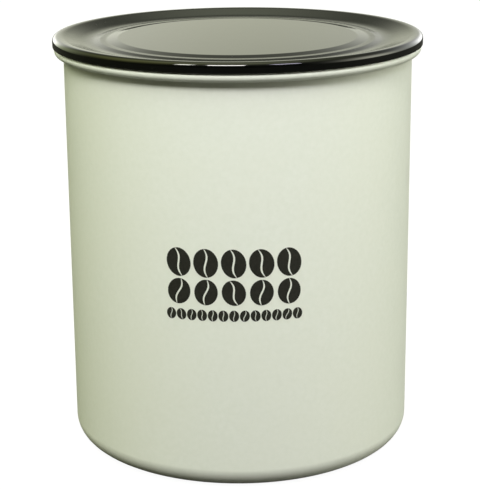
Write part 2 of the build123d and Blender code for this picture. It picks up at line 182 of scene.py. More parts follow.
def clean(mesh, smooth_angle=32):
    """Merges doubles, turns faces outwards and shades smooth except across sharp edges."""
    work = bmesh.new()
    work.from_mesh(mesh)
    bmesh.ops.remove_doubles(work, verts=work.verts, dist=2e-6)
    bmesh.ops.dissolve_degenerate(work, edges=work.edges, dist=1e-7)
    bmesh.ops.recalc_face_normals(work, faces=work.faces)
    for face in work.faces:
        face.smooth = True
    for edge in work.edges:
        edge.smooth = len(edge.link_faces) == 2 and edge.calc_face_angle(0) < radians(smooth_angle)
    work.to_mesh(mesh)
    work.free()
    return mesh


def mark_edges(mesh, full=0.9):
    """Writes the attribute "edge": 1 on sharp outward edges and 0 on flats and in hollows."""
    work = bmesh.new()
    work.from_mesh(mesh)
    layer = work.verts.layers.float.new("edge")
    for vert in work.verts:
        folds = [edge.calc_face_angle_signed(0) for edge in vert.link_edges if len(edge.link_faces) == 2]
        vert[layer] = min(1.0, max(0.0, max(folds, default=0)) / full)
    work.to_mesh(mesh)
    work.free()
    return mesh


def grow(name, mesh, tree, values):
    """Runs a Geometry Nodes tree on a mesh and returns the plain result as an object."""
    seed = new_object(name + "_seed", mesh)
    modifier = seed.modifiers.new(tree.name, "NODES")
    modifier.node_group = tree
    for item in tree.interface.items_tree:
        if item.in_out == "INPUT" and item.name in values:
            modifier[item.identifier] = values[item.name]
    evaluated = seed.evaluated_get(bpy.context.evaluated_depsgraph_get())
    grown = bpy.data.meshes.new_from_object(evaluated)
    bpy.data.objects.remove(seed)
    grown.name = name
    return new_object(name, grown)


def install(piece, body, slot, *nodes):
    """Puts a finished piece on its body, in place of CAD nodes."""
    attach(piece, body)
    if nodes:
        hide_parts(*nodes)
    return piece


def line_mesh(points, closed):
    """A mesh of edges only, from flat points in millimetres."""
    mesh = bpy.data.meshes.new("outline")
    edges = [(i, i + 1) for i in range(len(points) - 1)]
    if closed:
        edges.append((len(points) - 1, 0))
    mesh.from_pydata([(p[0] * MM, p[1] * MM, 0) for p in points], edges, [])
    return mesh


# ---- Geometry Nodes trees -----------------------------------------------------------------------
def turned_tree():
    """Turns a flat outline (radius, height) about the Z axis, as on a lathe."""
    tree, given, result = new_tree(
        "turned",
        "GeometryNodeTree",
        [("Outline", "Geometry", None), ("Segments", "Int", 192), ("Material", "Material", None)],
        [("Solid", "Geometry")],
    )
    track_radius = 1.0
    outline = add_node(tree, "GeometryNodeMeshToCurve", {"Mesh": given["Outline"]})
    placed = add_node(
        tree,
        "GeometryNodeTransform",
        {"Geometry": outline.outputs[0], "Translation": (-track_radius, 0, 0), "Scale": (1, -1, 1)},
    )
    track = add_node(
        tree,
        "GeometryNodeCurvePrimitiveCircle",
        {"Resolution": given["Segments"], "Radius": track_radius},
    )
    swept = add_node(
        tree,
        "GeometryNodeCurveToMesh",
        {"Curve": track.outputs[0], "Profile Curve": placed.outputs[0]},
    )
    merged = add_node(tree, "GeometryNodeMergeByDistance", {"Geometry": swept.outputs[0], "Distance": 2e-6})
    close_tree(tree, merged.outputs[0], given["Material"], result["Solid"])
    return tree


def row_on_can_tree():
    """Repeats a flat shape along a row and wraps the row round the can's wall."""
    tree, given, result = new_tree(
        "row_on_can",
        "GeometryNodeTree",
        [
            ("Shape", "Geometry", None),
            ("Count", "Int", 5),
            ("Start", "Vector", (0, 0, 0)),
            ("Pitch", "Vector", (0.01, 0, 0)),
            ("Scale", "Vector", (1, 1, 1)),
            ("Tilt", "Float", 0.2),
            ("Seed", "Int", 1),
            ("Wall Radius", "Float", 0.08),
            ("Material", "Material", None),
        ],
        [("Row", "Geometry")],
    )
    places = add_node(
        tree,
        "GeometryNodeMeshLine",
        {"Count": given["Count"], "Start Location": given["Start"], "Offset": given["Pitch"]},
    )
    lean = add_node(
        tree,
        "FunctionNodeRandomValue",
        {2: maths(tree, "MULTIPLY", given["Tilt"], -1.0), 3: given["Tilt"], "Seed": given["Seed"]},
        data_type="FLOAT",
    )
    turn = add_node(tree, "ShaderNodeCombineXYZ", {"Z": lean.outputs[1]})
    copies = add_node(
        tree,
        "GeometryNodeInstanceOnPoints",
        {
            "Points": places.outputs[0],
            "Instance": given["Shape"],
            "Rotation": turn.outputs[0],
            "Scale": given["Scale"],
        },
    )
    real = add_node(tree, "GeometryNodeRealizeInstances", {"Geometry": copies.outputs[0]})
    here = add_node(tree, "GeometryNodeInputPosition").outputs[0]
    flat = add_node(tree, "ShaderNodeSeparateXYZ", {0: here})
    angle = maths(tree, "DIVIDE", flat.outputs["X"], given["Wall Radius"])
    reach = maths(tree, "ADD", given["Wall Radius"], flat.outputs["Z"])
    wrapped = add_node(
        tree,
        "ShaderNodeCombineXYZ",
        {
            "X": maths(tree, "MULTIPLY", reach, maths(tree, "SINE", angle)),
            "Y": maths(tree, "MULTIPLY", maths(tree, "MULTIPLY", reach, maths(tree, "COSINE", angle)), -1.0),
            "Z": flat.outputs["Y"],
        },
    )
    moved = add_node(
        tree, "GeometryNodeSetPosition", {"Geometry": real.outputs[0], "Position": wrapped.outputs[0]}
    )
    close_tree(tree, moved.outputs[0], given["Material"], result["Row"])
    return tree


def slotted_tree():
    """Cuts a straight slot across a solid with a box."""
    tree, given, result = new_tree(
        "slotted",
        "GeometryNodeTree",
        [
            ("Solid", "Geometry", None),
            ("Slot", "Vector", (0.01, 0.01, 0.01)),
            ("Place", "Vector", (0, 0, 0)),
            ("Material", "Material", None),
        ],
        [("Cut", "Geometry")],
    )
    box = add_node(tree, "GeometryNodeMeshCube", {"Size": given["Slot"]})
    placed = add_node(
        tree, "GeometryNodeTransform", {"Geometry": box.outputs[0], "Translation": given["Place"]}
    )
    cut = add_node(
        tree, "GeometryNodeMeshBoolean", {0: given["Solid"], 1: placed.outputs[0]}, operation="DIFFERENCE"
    )
    close_tree(tree, cut.outputs[0], given["Material"], result["Cut"])
    return tree


def copies_tree():
    """Stands a copy of a part on every point, tipped by Tip and turned at random about its axis."""
    tree, given, result = new_tree(
        "copies_on_points",
        "GeometryNodeTree",
        [
            ("Points", "Geometry", None),
            ("Part", "Object", None),
            ("Tip", "Float", 0.0),
            ("Seed", "Int", 1),
            ("Material", "Material", None),
        ],
        [("Copies", "Geometry")],
    )
    part = add_node(tree, "GeometryNodeObjectInfo", {"Object": given["Part"]})
    turn = add_node(
        tree, "FunctionNodeRandomValue", {2: 0.0, 3: 2 * pi, "Seed": given["Seed"]}, data_type="FLOAT"
    )
    rotation = add_node(tree, "ShaderNodeCombineXYZ", {"X": given["Tip"], "Z": turn.outputs[1]})
    copies = add_node(
        tree,
        "GeometryNodeInstanceOnPoints",
        {"Points": given["Points"], "Instance": part.outputs["Geometry"], "Rotation": rotation.outputs[0]},
    )
    close_tree(tree, copies.outputs[0], given["Material"], result["Copies"])
    return tree


# ---- shader groups ------------------------------------------------------------------------------
def grain_group():
    """Fine grain on object coordinates: a value and a height, from coarse and fine noise."""
    group, given, result = new_tree(
        "surface_grain",
        "ShaderNodeTree",
        [("Coarse", "Float", 600.0), ("Fine", "Float", 3000.0), ("Balance", "Float", 0.5)],
        [("Value", "Float"), ("Height", "Float")],
    )
    where = add_node(group, "ShaderNodeTexCoord").outputs["Object"]
    coarse = add_node(group, "ShaderNodeTexNoise", {"Vector": where, "Scale": given["Coarse"], "Detail": 2.0})
    fine = add_node(group, "ShaderNodeTexNoise", {"Vector": where, "Scale": given["Fine"], "Detail": 1.0})
    both = add_node(
        group,
        "ShaderNodeMix",
        {"Factor": given["Balance"], 2: coarse.outputs[0], 3: fine.outputs[0]},
        data_type="FLOAT",
    )
    group.links.new(coarse.outputs[0], result["Value"])
    group.links.new(both.outputs[0], result["Height"])
    return group


def wear_group():
    """How rubbed a place is: outward edges first, broken up by noise."""
    group, given, result = new_tree(
        "edge_wear",
        "ShaderNodeTree",
        [("Amount", "Float", 0.5), ("Scale", "Float", 400.0)],
        [("Mask", "Float")],
    )
    edge = add_node(group, "ShaderNodeAttribute", attribute_name="edge").outputs["Fac"]
    where = add_node(group, "ShaderNodeTexCoord").outputs["Object"]
    patches = add_node(group, "ShaderNodeTexNoise", {"Vector": where, "Scale": given["Scale"], "Detail": 4.0})
    broken = maths(group, "MULTIPLY", edge, patches.outputs[0])
    sharp = add_node(
        group,
        "ShaderNodeMapRange",
        {"Value": broken, "From Min": 0.22, "From Max": 0.62},
        interpolation_type="SMOOTHSTEP",
    )
    group.links.new(maths(group, "MULTIPLY", sharp.outputs[0], given["Amount"]), result["Mask"])
    return group


def brushed_group():
    """Brush lines that run round the Z axis, on walls and on flat faces alike."""
    group, given, result = new_tree(
        "brushed_round",
        "ShaderNodeTree",
        [("Line Scale", "Float", 2500.0), ("Along Scale", "Float", 18.0)],
        [("Value", "Float"), ("Height", "Float")],
    )
    where = add_node(group, "ShaderNodeTexCoord").outputs["Object"]
    x, y, z = add_node(group, "ShaderNodeSeparateXYZ", {0: where}).outputs
    radius = distance_from_axis(group, x, y)
    across = maths(group, "MULTIPLY", maths(group, "ADD", z, radius), given["Line Scale"])
    stretched = add_node(
        group,
        "ShaderNodeCombineXYZ",
        {
            "X": across,
            "Y": maths(group, "MULTIPLY", x, given["Along Scale"]),
            "Z": maths(group, "MULTIPLY", y, given["Along Scale"]),
        },
    )
    lines = add_node(
        group, "ShaderNodeTexNoise", {"Vector": stretched.outputs[0], "Scale": 1.0, "Detail": 3.0}
    )
    group.links.new(lines.outputs[0], result["Value"])
    group.links.new(lines.outputs[0], result["Height"])
    return group


GRAIN = grain_group()
WEAR = wear_group()
BRUSHED = brushed_group()


def use_group(tree, group, **inputs):
    made = add_node(tree, "ShaderNodeGroup", node_tree=group)
    for name, value in inputs.items():
        made.inputs[name.replace("_", " ")].default_value = value
    return made.outputs


def new_material(name, **fixed):
    """A material whose Principled shader has these plain values; returns material, tree and shader."""
    material = bpy.data.materials.new(name)
    material.use_nodes = True
    tree = material.node_tree
    shader = tree.nodes["Principled BSDF"]
    for socket, value in fixed.items():
        shader.inputs[socket.replace("_", " ")].default_value = value
    return material, tree, shader


def spread(tree, value, low_value, high_value, low_at=0.3, high_at=0.7):
    """Maps a noise value to a range, clamped."""
    inputs = {
        "Value": value,
        "From Min": low_at,
        "From Max": high_at,
        "To Min": low_value,
        "To Max": high_value,
    }
    return add_node(tree, "ShaderNodeMapRange", inputs).outputs[0]


def blend_colour(tree, factor, first, second):
    """Mixes two colours; each is a link or (r, g, b)."""
    values = [c if isinstance(c, bpy.types.NodeSocket) else (*c, 1) for c in (first, second)]
    mixed = add_node(
        tree, "ShaderNodeMix", {"Factor": factor, 6: values[0], 7: values[1]}, data_type="RGBA"
    )
    return mixed.outputs[2]


def add_bump(tree, shader, height, strength, distance_mm):
    bump = add_node(
        tree, "ShaderNodeBump", {"Height": height, "Strength": strength, "Distance": distance_mm * MM}
    )
    tree.links.new(bump.outputs[0], shader.inputs["Normal"])


# ---- materials ----------------------------------------------------------------------------------
def powder_coat():
    """Pale grey-green powder coat: satin, with a faint orange peel and rubbed edges."""
    material, tree, shader = new_material("powder_coat", IOR=1.5)
    grain = use_group(tree, GRAIN, Coarse=420.0, Fine=2600.0, Balance=0.6)
    clouds = use_group(tree, GRAIN, Coarse=22.0, Fine=60.0, Balance=0.5)
    wear = use_group(tree, WEAR, Amount=0.35, Scale=300.0)
    grey, pale = (0.735, 0.765, 0.702), (0.765, 0.792, 0.735)
    fine = blend_colour(tree, spread(tree, grain["Value"], 0, 1), grey, pale)
    uneven = blend_colour(tree, spread(tree, clouds["Height"], 0, 0.5), fine, (0.745, 0.768, 0.695))
    worn = blend_colour(tree, wear["Mask"], uneven, (0.66, 0.67, 0.60))
    tree.links.new(worn, shader.inputs["Base Color"])
    tree.links.new(spread(tree, clouds["Height"], 0.38, 0.46), shader.inputs["Roughness"])
    add_bump(tree, shader, grain["Height"], 0.35, 0.03)
    return material


def printed_ink():
    """Near-black pad-printed ink, slightly glossier than the coat, with a faint grain."""
    material, tree, shader = new_material("printed_ink", IOR=1.5)
    grain = use_group(tree, GRAIN, Coarse=900.0, Fine=4200.0, Balance=0.6)
    ink = blend_colour(tree, spread(tree, grain["Value"], 0, 1), (0.012, 0.012, 0.009), (0.021, 0.021, 0.016))
    tree.links.new(ink, shader.inputs["Base Color"])
    tree.links.new(spread(tree, grain["Height"], 0.42, 0.55), shader.inputs["Roughness"])
    add_bump(tree, shader, grain["Height"], 0.3, 0.02)
    return material


def lid_gloss():
    """Black gloss moulding with hair scratches and specks, duller between plateau and rim."""
    material, tree, shader = new_material("lid_gloss", IOR=1.52)
    where = add_node(tree, "ShaderNodeTexCoord").outputs["Object"]
    hairs = use_group(tree, BRUSHED, Line_Scale=2200.0, Along_Scale=30.0)
    clouds = use_group(tree, GRAIN, Coarse=35.0, Fine=160.0, Balance=0.4)
    wear = use_group(tree, WEAR, Amount=0.3, Scale=500.0)
    specks = add_node(tree, "ShaderNodeTexVoronoi", {"Vector": where, "Scale": 190.0}, feature="F1")
    speck = spread(tree, specks.outputs["Distance"], 1.0, 0.0, 0.035, 0.07)
    hair = spread(tree, hairs["Value"], 0.0, 1.0, 0.66, 0.74)
    deep, black = (0.0012, 0.0014, 0.0012), (0.0025, 0.0027, 0.0023)
    tone = blend_colour(tree, spread(tree, clouds["Height"], 0, 1), deep, black)
    dulled = maths(tree, "MAXIMUM", wear["Mask"], maths(tree, "MULTIPLY", speck, 0.5))
    rubbed = blend_colour(tree, dulled, tone, (0.012, 0.012, 0.011))
    tree.links.new(rubbed, shader.inputs["Base Color"])
    x, y = add_node(tree, "ShaderNodeSeparateXYZ", {0: where}).outputs[:2]
    radius = distance_from_axis(tree, x, y)
    ring_dullness = 0.10
    outside_plateau = spread(tree, radius, 0.0, 1.0, 63.0 * MM, 64.5 * MM)
    inside_rim = spread(tree, radius, 1.0, 0.0, 83.5 * MM, 86.0 * MM)
    ring = maths(tree, "MULTIPLY", maths(tree, "MINIMUM", outside_plateau, inside_rim), ring_dullness)
    base = maths(tree, "ADD", spread(tree, clouds["Height"], 0.045, 0.085), ring)
    marks = maths(tree, "ADD", maths(tree, "MULTIPLY", hair, 0.05), maths(tree, "MULTIPLY", speck, 0.25))
    tree.links.new(maths(tree, "ADD", base, marks), shader.inputs["Roughness"])
    add_bump(tree, shader, hairs["Height"], 0.04, 0.01)
    return material


def brushed_inside():
    """Bare stainless steel inside the can, with lines left round it by the spinning."""
    material, tree, shader = new_material("spun_steel", Metallic=1.0)
    lines = use_group(tree, BRUSHED, Line_Scale=2600.0, Along_Scale=14.0)
    clouds = use_group(tree, GRAIN, Coarse=30.0, Fine=90.0, Balance=0.4)
    colour = blend_colour(tree, spread(tree, lines["Value"], 0, 1), (0.50, 0.50, 0.48), (0.62, 0.62, 0.60))
    tree.links.new(colour, shader.inputs["Base Color"])
    line_rough = spread(tree, lines["Value"], 0.24, 0.36)
    rough = maths(tree, "ADD", line_rough, spread(tree, clouds["Height"], 0, 0.06))
    tree.links.new(rough, shader.inputs["Roughness"])
    add_bump(tree, shader, lines["Height"], 0.25, 0.01)
    return material


def steel(name, light, dark, rough):
    """Machined or drawn steel, a little duller in patches and brighter where rubbed."""
    material, tree, shader = new_material(name, Metallic=1.0)
    grain = use_group(tree, GRAIN, Coarse=260.0, Fine=1900.0, Balance=0.5)
    wear = use_group(tree, WEAR, Amount=0.6, Scale=700.0)
    tone = blend_colour(tree, spread(tree, grain["Value"], 0, 1), dark, light)
    worn = blend_colour(tree, wear["Mask"], tone, tuple(min(1.0, 1.18 * c) for c in light))
    tree.links.new(worn, shader.inputs["Base Color"])
    tree.links.new(spread(tree, grain["Height"], rough * 0.8, rough * 1.25), shader.inputs["Roughness"])
    add_bump(tree, shader, grain["Height"], 0.2, 0.012)
    return material


def moulded(name, dark, light, rough, texture, wear_colour):
    """Moulded plastic with a fine spark-eroded texture and edges polished by handling."""
    material, tree, shader = new_material(name, IOR=1.48)
    grain = use_group(tree, GRAIN, Coarse=texture * 0.3, Fine=texture, Balance=0.7)
    wear = use_group(tree, WEAR, Amount=0.5, Scale=500.0)
    tone = blend_colour(tree, spread(tree, grain["Value"], 0, 1), dark, light)
    worn = blend_colour(tree, wear["Mask"], tone, wear_colour)
    tree.links.new(worn, shader.inputs["Base Color"])
    dull = spread(tree, grain["Height"], rough * 0.85, rough * 1.15)
    polished = maths(tree, "SUBTRACT", dull, maths(tree, "MULTIPLY", wear["Mask"], 0.15))
    tree.links.new(polished, shader.inputs["Roughness"])
    add_bump(tree, shader, grain["Height"], 0.4, 0.03)
    return material


def silicone():
    """Milky silicone rubber, soft and slightly see-through at its thin lips."""
    material, tree, shader = new_material(
        "silicone", IOR=1.41, Subsurface_Weight=0.25, Subsurface_Scale=1 * MM
    )
    grain = use_group(tree, GRAIN, Coarse=180.0, Fine=1500.0, Balance=0.5)
    tone = blend_colour(tree, spread(tree, grain["Value"], 0, 1), (0.52, 0.53, 0.50), (0.62, 0.62, 0.59))
    tree.links.new(tone, shader.inputs["Base Color"])
    tree.links.new(spread(tree, grain["Height"], 0.42, 0.58), shader.inputs["Roughness"])
    add_bump(tree, shader, grain["Height"], 0.25, 0.02)
    return material


COAT = powder_coat()
INK = printed_ink()
LID_BLACK = lid_gloss()
SPUN_STEEL = brushed_inside()
STEEL = steel("satin_steel", (0.63, 0.63, 0.61), (0.50, 0.50, 0.49), 0.28)
SPRING_STEEL = steel("spring_steel", (0.50, 0.50, 0.50), (0.38, 0.38, 0.39), 0.22)
DARK_PLASTIC = moulded(
    "plunger_plastic", (0.030, 0.031, 0.031), (0.042, 0.043, 0.042), 0.46, 1800.0, (0.09, 0.09, 0.09)
)
GRIP_PLASTIC = moulded(
    "grip_plastic", (0.020, 0.020, 0.020), (0.030, 0.030, 0.029), 0.55, 1200.0, (0.07, 0.07, 0.07)
)
BEARING_PLASTIC = moulded(
    "bearing_plastic", (0.58, 0.57, 0.52), (0.66, 0.65, 0.60), 0.38, 900.0, (0.72, 0.71, 0.68)
)
SILICONE = silicone()

TURNED = turned_tree()
ROW_ON_CAN = row_on_can_tree()
SLOTTED = slotted_tree()
COPIES = copies_tree()


def turn(name, outline, material, closed=True, segments=224):
    """A turned piece from its outline."""
    values = {"Segments": segments, "Material": material}
    made = grow(name, line_mesh(outline, closed), TURNED, values)
    clean(made.data)
    mark_edges(made.data)
    return made


# ---- the can ------------------------------------------------------------------------------------
def make_can():
    """One closed shell: coated outside up to the lip of its curl, bare steel inside."""
    dish_rise, dish_radius, foot_radius, stamp, corner = 1.5, 58.0, 62.0, 2.0, 9.7
    curl_end = -125
    under = rounded([
        (0, dish_rise, 0),
        (dish_radius, dish_rise, stamp - SHEET / 2),
        (foot_radius, 0, stamp + SHEET / 2),
        (CAN_RADIUS, 0, corner),
        (CAN_RADIUS, CURL_Z, 0),
    ])[:-1]
    inside_curl = arc_points((CURL_R, CURL_Z), CURL_RADIUS - SHEET, 180, curl_end - 180, radians(12))
    outside_curl = arc_points((CURL_R, CURL_Z), CURL_RADIUS, curl_end, 180 - curl_end, radians(7))
    inner = rounded([
        (BORE_RADIUS, CURL_Z, 0),
        (BORE_RADIUS, SHEET, corner - SHEET),
        (foot_radius, SHEET, stamp - SHEET / 2),
        (dish_radius, dish_rise + SHEET, stamp + SHEET / 2),
        (0, dish_rise + SHEET, 0),
    ])[1:]
    can = turn("can_shell", under + inside_curl + outside_curl + inner, COAT, closed=False, segments=256)
    can.data.materials.append(SPUN_STEEL)
    # inside faces are bare steel: the bore, the floor and the corner between them
    for face in can.data.polygons:
        radius = hypot(face.center.x, face.center.y) / MM
        height = face.center.z / MM
        in_bore = radius < BORE_RADIUS + 0.1 and height > dish_rise + 0.3 and height < CURL_Z + 1
        on_floor = radius < CAN_RADIUS - corner and height > SHEET - 0.1 and face.normal.z > 0.3
        in_corner = radius < BORE_RADIUS + 0.1 and face.normal.z > -0.01 and height > SHEET - 0.1
        if in_bore and face.normal.x * face.center.x + face.normal.y * face.center.y < 0 or on_floor:
            face.material_index = 1
        elif in_corner and height < 2 * corner:
            face.material_index = 1
    return install(can, "canister", "powder_coated_steel", "canister_body")


# ---- the outer lid ------------------------------------------------------------------------------
def make_outer_lid():
    """Plateau, shoulder, trough and broad brim above; skirt, spigot and seal groove below."""
    top = LID_TOP
    wall, edge_depth, seat_gap = 2.0, 5.0, 0.1
    plateau_radius, plateau_drop = 58.0, 1.85
    shoulder_foot, ledge_radius, ledge_drop = 63.4, 66.5, 2.45
    trough_inner, trough_outer, trough_drop = 70.0, 74.0, 3.0
    rim_inner = 85.5
    skirt_inner, spigot, groove = 88.8, 81.6, 80.6
    edge_bottom = top - edge_depth
    seat = CAN_TOP + seat_gap
    spigot_inner = spigot - wall
    seal_top = high("outer_lid_seal").z
    seal_bottom = low("outer_lid_seal").z
    spigot_bottom = low("outer_lid").z
    outline = rounded([
        (0, top - plateau_drop, 0),
        (plateau_radius, top - plateau_drop, 6.0),
        (shoulder_foot, top - ledge_drop, 6.0),
        (ledge_radius, top - ledge_drop, 3.0),
        (trough_inner, top - trough_drop, 10.0),
        (trough_outer, top - trough_drop, 20.0),
        (rim_inner, top, 10.0),
        (LID_RADIUS, top, 2.3),
        (LID_RADIUS, edge_bottom, 0.3),
        (skirt_inner, edge_bottom, 0.2),
        (skirt_inner, seat, 0.3),
        (spigot, seat, 0.3),
        (spigot, seal_top, 0.1),
        (groove, seal_top, 0.1),
        (groove, seal_bottom, 0.1),
        (spigot, seal_bottom, 0.1),
        (spigot, spigot_bottom, 0.5),
        (spigot_inner, spigot_bottom, 0.5),
        (spigot_inner, top - trough_drop - wall, 0.5),
        (trough_outer, top - trough_drop - wall, 4.0),
        (shoulder_foot, top - plateau_drop - wall, 4.0),
        (0, top - plateau_drop - wall, 0),
    ], step=radians(5))
    lid = turn("lid_shell", outline, LID_BLACK, closed=False, segments=256)
    return install(lid, "outer_lid", "gloss_black_plastic", "outer_lid")


# ---- the printed rows of coffee beans -----------------------------------------------------------
def bean_mesh(rows=14, columns=4):
    """A flat coffee bean one unit tall: two closed halves with an S-shaped crease between them."""
    half_width, half_height, crease, swing = 0.42, 0.5, 0.035, 0.07
    under, over = -0.02, 0.05
    bean = bmesh.new()
    for side in (1, -1):
        layers = []
        for height in (under, over):
            grid = []
            for row in range(rows + 1):
                along = -cos(pi * row / rows)
                inner = side * swing * sin(pi * along) + crease * sqrt(max(0.0, 1 - along * along))
                outer = half_width * sqrt(max(0.0, 1 - along * along))
                line = []
                for column in range(columns + 1):
                    across = inner + (max(outer, inner) - inner) * column / columns
                    line.append(bean.verts.new((side * across, half_height * along, height)))
                grid.append(line)
            layers.append(grid)
        for row in range(rows):
            for column in range(columns):
                for grid in layers:
                    corners = (grid[row][column], grid[row][column + 1], grid[row + 1][column + 1],
                               grid[row + 1][column])
                    bean.faces.new(corners)
            for column in (0, columns):
                bottom, above = layers
                bean.faces.new((bottom[row][column], bottom[row + 1][column], above[row + 1][column],
                                above[row][column]))
        for row in (0, rows):
            for column in range(columns):
                bottom, above = layers
                bean.faces.new((bottom[row][column], bottom[row][column + 1], above[row][column + 1],
                                above[row][column]))
    mesh = bpy.data.meshes.new("bean")
    bean.to_mesh(mesh)
    bean.free()
    return mesh


def make_print():
    """Three rows of beans on the front of the can, in the place and size of a printed panel."""
    left, right = -34.5, 29.1
    rows = (
        ("print_row_top", 5, 111.0, 13.6, 1.0, 3),
        ("print_row_middle", 5, 97.2, 12.2, 1.06, 8),
        ("print_row_base", 13, 86.2, 5.4, 1.0, 5),
    )
    for name, count, height, size, widen, seed in rows:
        pitch = (right - left) / count
        values = {
            "Count": count,
            "Start": ((left + pitch / 2) * MM, height * MM, 0.0),
            "Pitch": (pitch * MM, 0.0, 0.0),
            "Scale": (size * MM * widen, size * MM, MM),
            "Tilt": 0.32,
            "Seed": seed,
            "Wall Radius": CAN_RADIUS * MM,
            "Material": INK,
        }
        row = grow(name, bean_mesh(), ROW_ON_CAN, values)
        clean(row.data, 60)
        mark_edges(row.data)
        install(row, "canister", "powder_coated_steel")


# ---- the plunger and the lid's seal -------------------------------------------------------------
def refine(node, material, body, slot, bevel=0.2):
    """A CAD piece with its facets joined and its edges broken by a fine bevel."""
    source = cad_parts[node]
    mesh = source.data.copy()
    mesh.transform(source.matrix_world)
    work = bmesh.new()
    work.from_mesh(mesh)
    bmesh.ops.remove_doubles(work, verts=work.verts, dist=2e-6)
    bmesh.ops.dissolve_limit(work, angle_limit=radians(0.5), verts=work.verts, edges=work.edges)
    work.to_mesh(mesh)
    work.free()
    seed = new_object(node + "_seed", mesh)
    modifier = seed.modifiers.new("broken_edges", "BEVEL")
    modifier.width = bevel * MM
    modifier.segments = 2
    modifier.limit_method = "ANGLE"
    modifier.angle_limit = radians(30)
    evaluated = seed.evaluated_get(bpy.context.evaluated_depsgraph_get())
    bevelled = bpy.data.meshes.new_from_object(evaluated)
    bpy.data.objects.remove(seed)
    bevelled.materials.clear()
    bevelled.materials.append(material)
    mark_edges(clean(bevelled))
    return install(new_object(node + "_refined", bevelled), body, slot, node)


def make_soft_parts():
    """The outer lid's seal, the plunger's wiper gasket and the valve disc, all turned."""
    bottom = low("outer_lid_seal").z
    top = high("outer_lid_seal").z
    inner, band = 80.6, 82.0
    first_lip, lip_spacing = 0.45, 1.8
    outline = [(inner, bottom, 0.2), (band, bottom, 0.2)]
    for lip in (bottom + first_lip, bottom + first_lip + lip_spacing):
        outline += [
            (band, lip + 0.28, 0.1),
            (SEAL_RADIUS, lip + 0.8, 0.1),
            (SEAL_RADIUS, lip + 1.2, 0.1),
            (band, lip + 1.27, 0.1),
        ]
    outline += [(band, top, 0.2), (inner, top, 0.2)]
    seal = turn("lid_seal", rounded(outline, closed=True, step=radians(30)), SILICONE)
    install(seal, "outer_lid", "silicone", "outer_lid_seal")

    inner, band, middle = 78.5, 80.0, DECK_Z - 1
    half = high("plunger_gasket").z - middle
    upper = [(band, 0.43), (SEAL_RADIUS, 3.6), (SEAL_RADIUS - 0.9, 3.8), (band, 1.73)]
    outline = [(inner, middle - half, 0.3), (band, middle - half, 0.3)]
    outline += [(r, middle - z, 0.2) for r, z in reversed(upper)]
    outline += [(r, middle + z, 0.2) for r, z in upper]
    outline += [(band, middle + half, 0.3), (inner, middle + half, 0.3)]
    gasket = turn("wiper_gasket", rounded(outline, closed=True, step=radians(30)), SILICONE)
    install(gasket, "plunger", "silicone", "plunger_gasket")

    top, bottom, rim = high("valve_disc").z, low("valve_disc").z, high("valve_disc").x
    chamfer = 0.6
    outline = [
        (STEM_HOLE, bottom, 0.1),
        (rim - chamfer, bottom, 0.2),
        (rim, bottom + chamfer, 0.2),
        (rim, top, 0.2),
        (STEM_HOLE, top, 0.1),
    ]
    disc = turn("valve_flap", rounded(outline, closed=True), SILICONE, segments=96)
    install(disc, "valve", "silicone", "valve_disc")


def make_turned_parts():
    """The valve's washer and cage, and the grooved grip on the handle."""
    top, bottom, rim = high("valve_washer").z, low("valve_washer").z, high("valve_washer").x
    outline = [(STEM_HOLE, bottom, 0.1), (rim, bottom, 0.2), (rim, top, 0.2), (STEM_HOLE, top, 0.1)]
    washer = turn("flap_washer", rounded(outline, closed=True), STEEL, segments=72)
    install(washer, "valve", "stainless_steel", "valve_washer")

    top, bottom, rim = high("valve_cage").z, low("valve_cage").z, high("valve_cage").x
    inner, lip, floor, chamfer = rim - 1.6, rim - 3.2, bottom + 1.2, 0.8
    outline = [
        (lip, bottom, 0.3),
        (rim - chamfer, bottom, 0.3),
        (rim, bottom + chamfer, 0.3),
        (rim, top, 0.1),
        (inner, top, 0.1),
        (inner, floor, 0.2),
        (lip, floor, 0.3),
    ]
    cage = turn("cage_shell", rounded(outline, closed=True), DARK_PLASTIC, segments=96)
    install(cage, "plunger", "plunger_plastic", "valve_cage")

    half, hole, waist, swell = high("handle_grip").x, 2.52, 4.3, 0.7
    groove_depth, groove_half, groove_pitch, groove_reach = 0.2, 0.45, 2, 16
    outline = [(hole, -half, 0.3), (waist + swell, -half, 1.2)]
    for along in range(-groove_reach, groove_reach + 1, groove_pitch):
        radius = waist + swell * (along / half) ** 2
        outline += [
            (radius, along - groove_half, 0),
            (radius - groove_depth, along, 0),
            (radius, along + groove_half, 0),
        ]
    outline += [(waist + swell, half, 1.2), (hole, half, 0.3)]
    grip = turn("grip_sleeve", rounded(outline, closed=True), GRIP_PLASTIC, segments=72)
    reach = (low("handle_grip").y + high("handle_grip").y) / 2
    lay = Matrix.Translation((0, reach * MM, PIVOT_Z * MM)) @ Matrix.Rotation(pi / 2, 4, "Y")
    grip.data.transform(lay)
    install(grip, "handle", "grip_plastic", "handle_grip")


